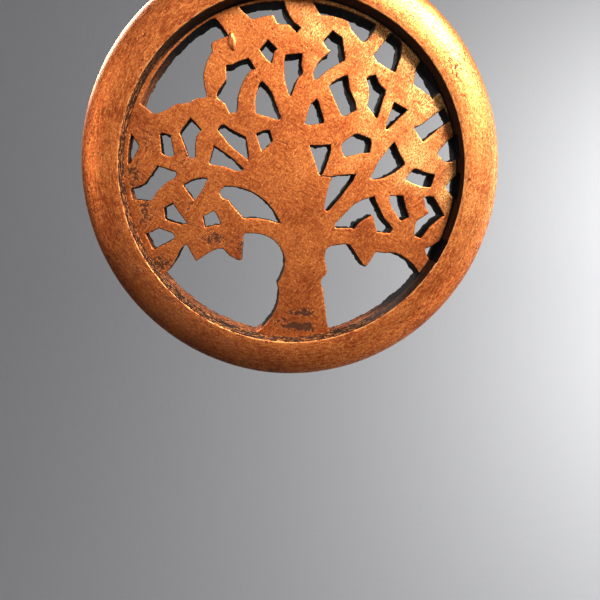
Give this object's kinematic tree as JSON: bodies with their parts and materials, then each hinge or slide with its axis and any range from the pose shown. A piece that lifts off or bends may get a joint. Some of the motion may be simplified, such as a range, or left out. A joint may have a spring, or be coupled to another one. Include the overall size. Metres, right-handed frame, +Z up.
{
  "type": "pierced clay wall plaque",
  "caption": "Round pierced clay plaque: a spreading tree inside a raised moulded rim, with a wire bail recessed in the flat back so that it hangs flat on a nail.",
  "frame": {"origin": "centre of the flat back face, where it meets the wall, on the axis of the disc", "axes": "+Y out of the flat back into the wall, so the face looks along -Y; +Z up as it hangs; +X to the right of a person who looks at the face"},
  "size_m": [0.15, 0.0153, 0.15],
  "materials": {
    "tree_clay": "black-stained clay rubbed with copper paint on the face, dark cut walls",
    "rim_clay": "black-stained clay rubbed with copper paint, satin with fine speckle",
    "seam_clay": "dark stained clay with a little copper",
    "dried_slip": "smooth dried slip under copper paint",
    "bail_wire": "drawn steel wire"
  },
  "bodies": {
    "plaque": {"tree_panel": "tree_clay", "rim_ring": "rim_clay", "luting_coil": "seam_clay", "slip_drop": "dried_slip"},
    "bail": {"hanging_bail": "bail_wire"}
  },
  "joints": [
    {"name": "bail_swing", "type": "hinge", "parent": "plaque", "child": "bail", "pos_m": [0, -0.0026, 0.066], "axis": [1, 0, 0], "range_deg": [0, 175]}
  ]
}
